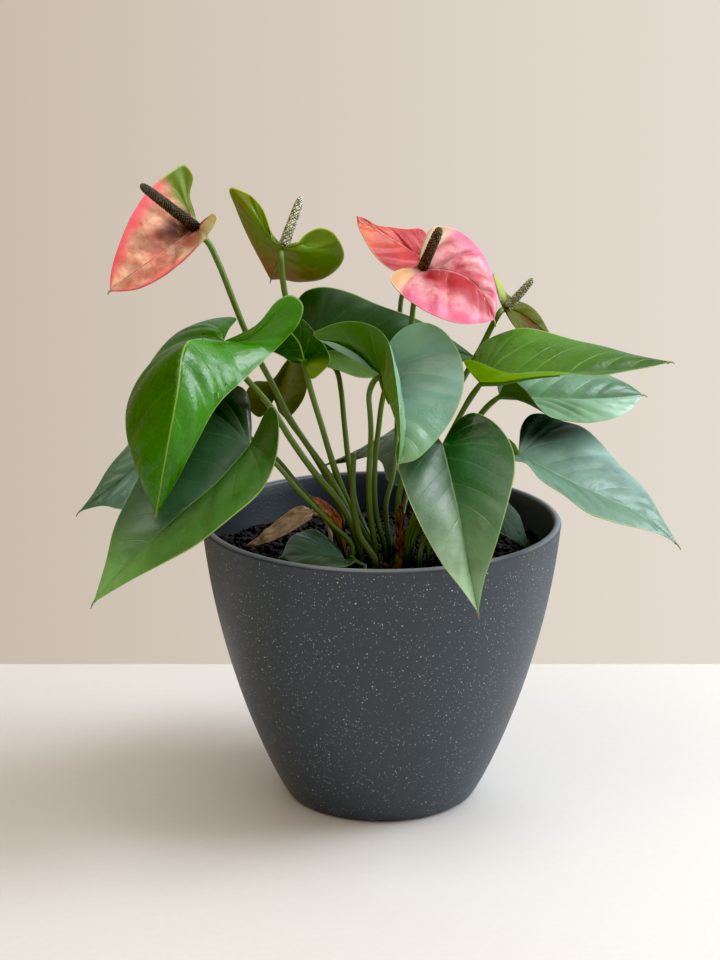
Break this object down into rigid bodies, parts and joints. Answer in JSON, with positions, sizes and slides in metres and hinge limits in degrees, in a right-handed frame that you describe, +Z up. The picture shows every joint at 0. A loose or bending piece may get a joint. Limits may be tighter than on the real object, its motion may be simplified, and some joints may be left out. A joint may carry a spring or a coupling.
{
  "type": "potted anthurium",
  "caption": "Potted anthurium with heart-shaped glossy leaves and pink, coral and olive spathes on slender stalks, in a round speckled grey planter filled with dark soil",
  "frame": {"origin": "middle of the pot's flat underside", "axes": "+Z up along the pot's axis, -Y towards the side seen in the picture, +X to the right in it"},
  "size_m": [0.3032, 0.2102, 0.3389],
  "materials": {
    "pot": "matt slate grey with fine pale flecks",
    "soil": "damp black potting soil, rough",
    "leaf": "glossy waxy green leaf",
    "bronze_leaf": "young bronze-green leaf",
    "pink_spathe": "waxy pink spathe",
    "olive_spathe": "ageing olive spathe",
    "coral_spathe": "coral spathe",
    "spadix": "fine knobbly olive-brown spike",
    "stem": "smooth green stalk",
    "dry": "dry papery brown leaf"
  },
  "bodies": {
    "root": {"pot": "pot", "soil": "soil", "leaf_front_left": "leaf", "leaf_low_left": "leaf", "leaf_far_left": "leaf", "leaf_centre_left": "leaf", "leaf_back_dark": "leaf", "leaf_centre_folded": "leaf", "leaf_front_right": "leaf", "leaf_right_long": "leaf", "leaf_right_blue": "leaf", "leaf_right_low": "leaf", "leaf_inner_right": "leaf", "leaf_inner_left": "leaf", "leaf_back_low": "leaf", "leaf_young_bronze": "bronze_leaf", "flower_1_spathe": "pink_spathe", "flower_1_spadix": "spadix", "flower_1_stem": "stem", "flower_2_spathe": "olive_spathe", "flower_2_spadix": "spadix", "flower_2_stem": "stem", "flower_3_spathe": "pink_spathe", "flower_3_spadix": "spadix", "flower_3_stem": "stem", "flower_4_spathe": "olive_spathe", "flower_4_spadix": "spadix", "flower_4_stem": "stem", "flower_5_spathe": "coral_spathe", "flower_5_spadix": "spadix", "flower_5_stem": "stem", "cut_stub": "stem", "dead_leaf": "dry", "dry_sheath_1": "dry", "dry_sheath_2": "dry"}
  },
  "joints": []
}
